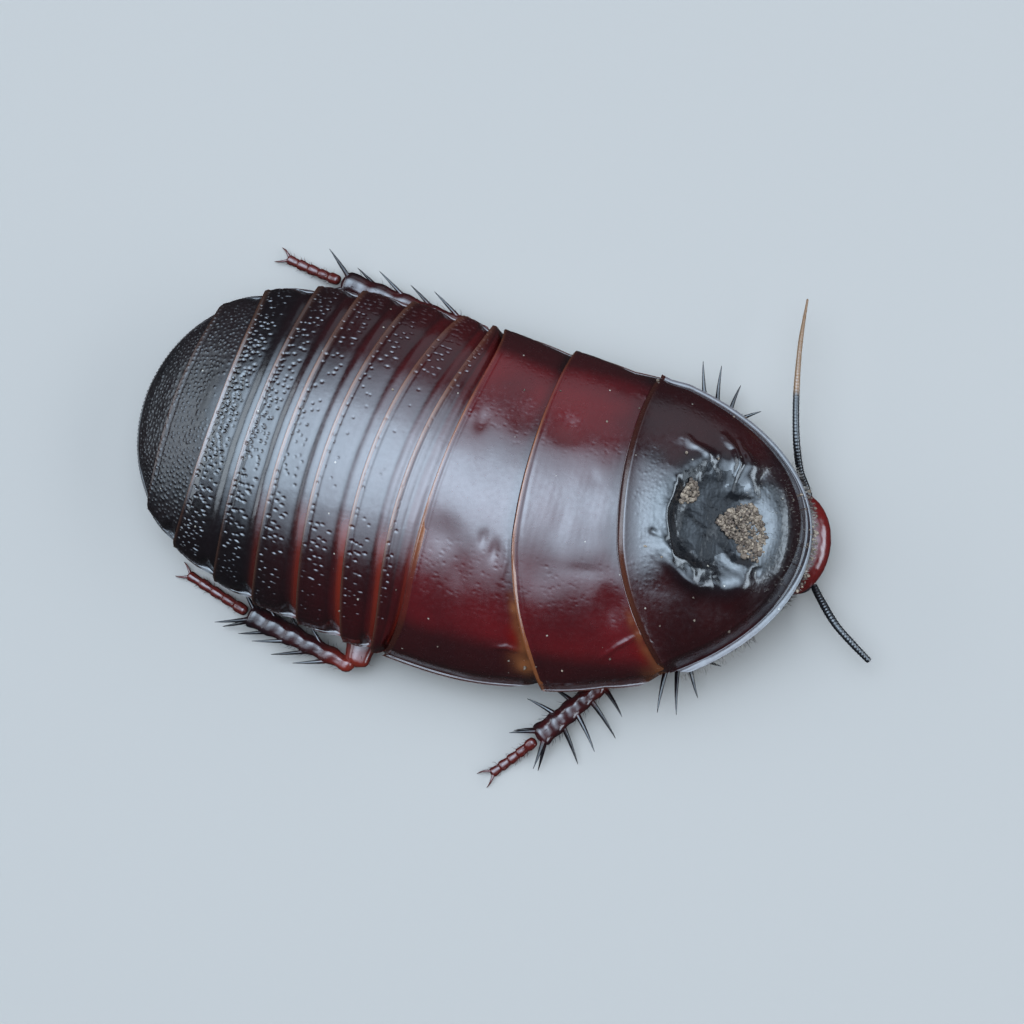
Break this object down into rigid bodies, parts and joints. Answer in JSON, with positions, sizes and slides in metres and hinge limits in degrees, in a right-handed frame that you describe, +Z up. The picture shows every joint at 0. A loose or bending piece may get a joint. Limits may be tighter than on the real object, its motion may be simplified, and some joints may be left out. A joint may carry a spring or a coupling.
{
  "type": "giant burrowing cockroach model",
  "caption": "Life-size still model of a wingless giant burrowing cockroach, standing on its six legs with its body bent slightly to one side.",
  "frame": {"origin": "on the ground under the middle of the whole model's plan, legs and feelers included", "axes": "+X from tail to head, +Y to the animal's left, +Z up"},
  "size_m": [0.066, 0.0456, 0.014],
  "materials": {
    "pronotum": "glossy dark maroon skin, pitted and ridged",
    "thorax": "smooth glossy maroon skin",
    "abdomen": "glossy maroon skin with rows of pits",
    "tail": "black, densely beaded skin",
    "head": "glossy brick-red skin",
    "eye": "black, finely faceted",
    "leg": "glossy red-brown skin with black spines",
    "antenna": "black, beaded",
    "mouth": "brown"
  },
  "bodies": {
    "root": {"pronotum": "pronotum", "mesonotum": "thorax", "metanotum": "thorax", "tergite_1": "abdomen", "tergite_2": "abdomen", "tergite_3": "abdomen", "tergite_4": "abdomen", "tergite_5": "abdomen", "tergite_6": "abdomen", "tergite_7": "abdomen", "supra_anal_plate": "tail", "cercus_left": "tail", "cercus_right": "tail", "neck": "leg", "head_capsule": "head", "eye_left": "eye", "eye_right": "eye", "labrum": "mouth", "mandible_left": "mouth", "mandible_right": "mouth", "maxillary_palp_left": "mouth", "maxillary_palp_right": "mouth", "labial_palp_left": "mouth", "labial_palp_right": "mouth", "antenna_scape_left": "antenna", "antenna_scape_right": "antenna", "antenna_flagellum_left": "antenna", "antenna_flagellum_right": "antenna", "coxa_fore_left": "leg", "coxa_fore_right": "leg", "coxa_middle_left": "leg", "coxa_middle_right": "leg", "coxa_hind_left": "leg", "coxa_hind_right": "leg", "femur_fore_left": "leg", "femur_fore_right": "leg", "femur_middle_left": "leg", "femur_middle_right": "leg", "femur_hind_left": "leg", "femur_hind_right": "leg", "tibia_fore_left": "leg", "tibia_fore_right": "leg", "tibia_middle_left": "leg", "tibia_middle_right": "leg", "tibia_hind_left": "leg", "tibia_hind_right": "leg", "tarsus_fore_left": "leg", "tarsus_fore_right": "leg", "tarsus_middle_left": "leg", "tarsus_middle_right": "leg", "tarsus_hind_left": "leg", "tarsus_hind_right": "leg"}
  },
  "joints": []
}
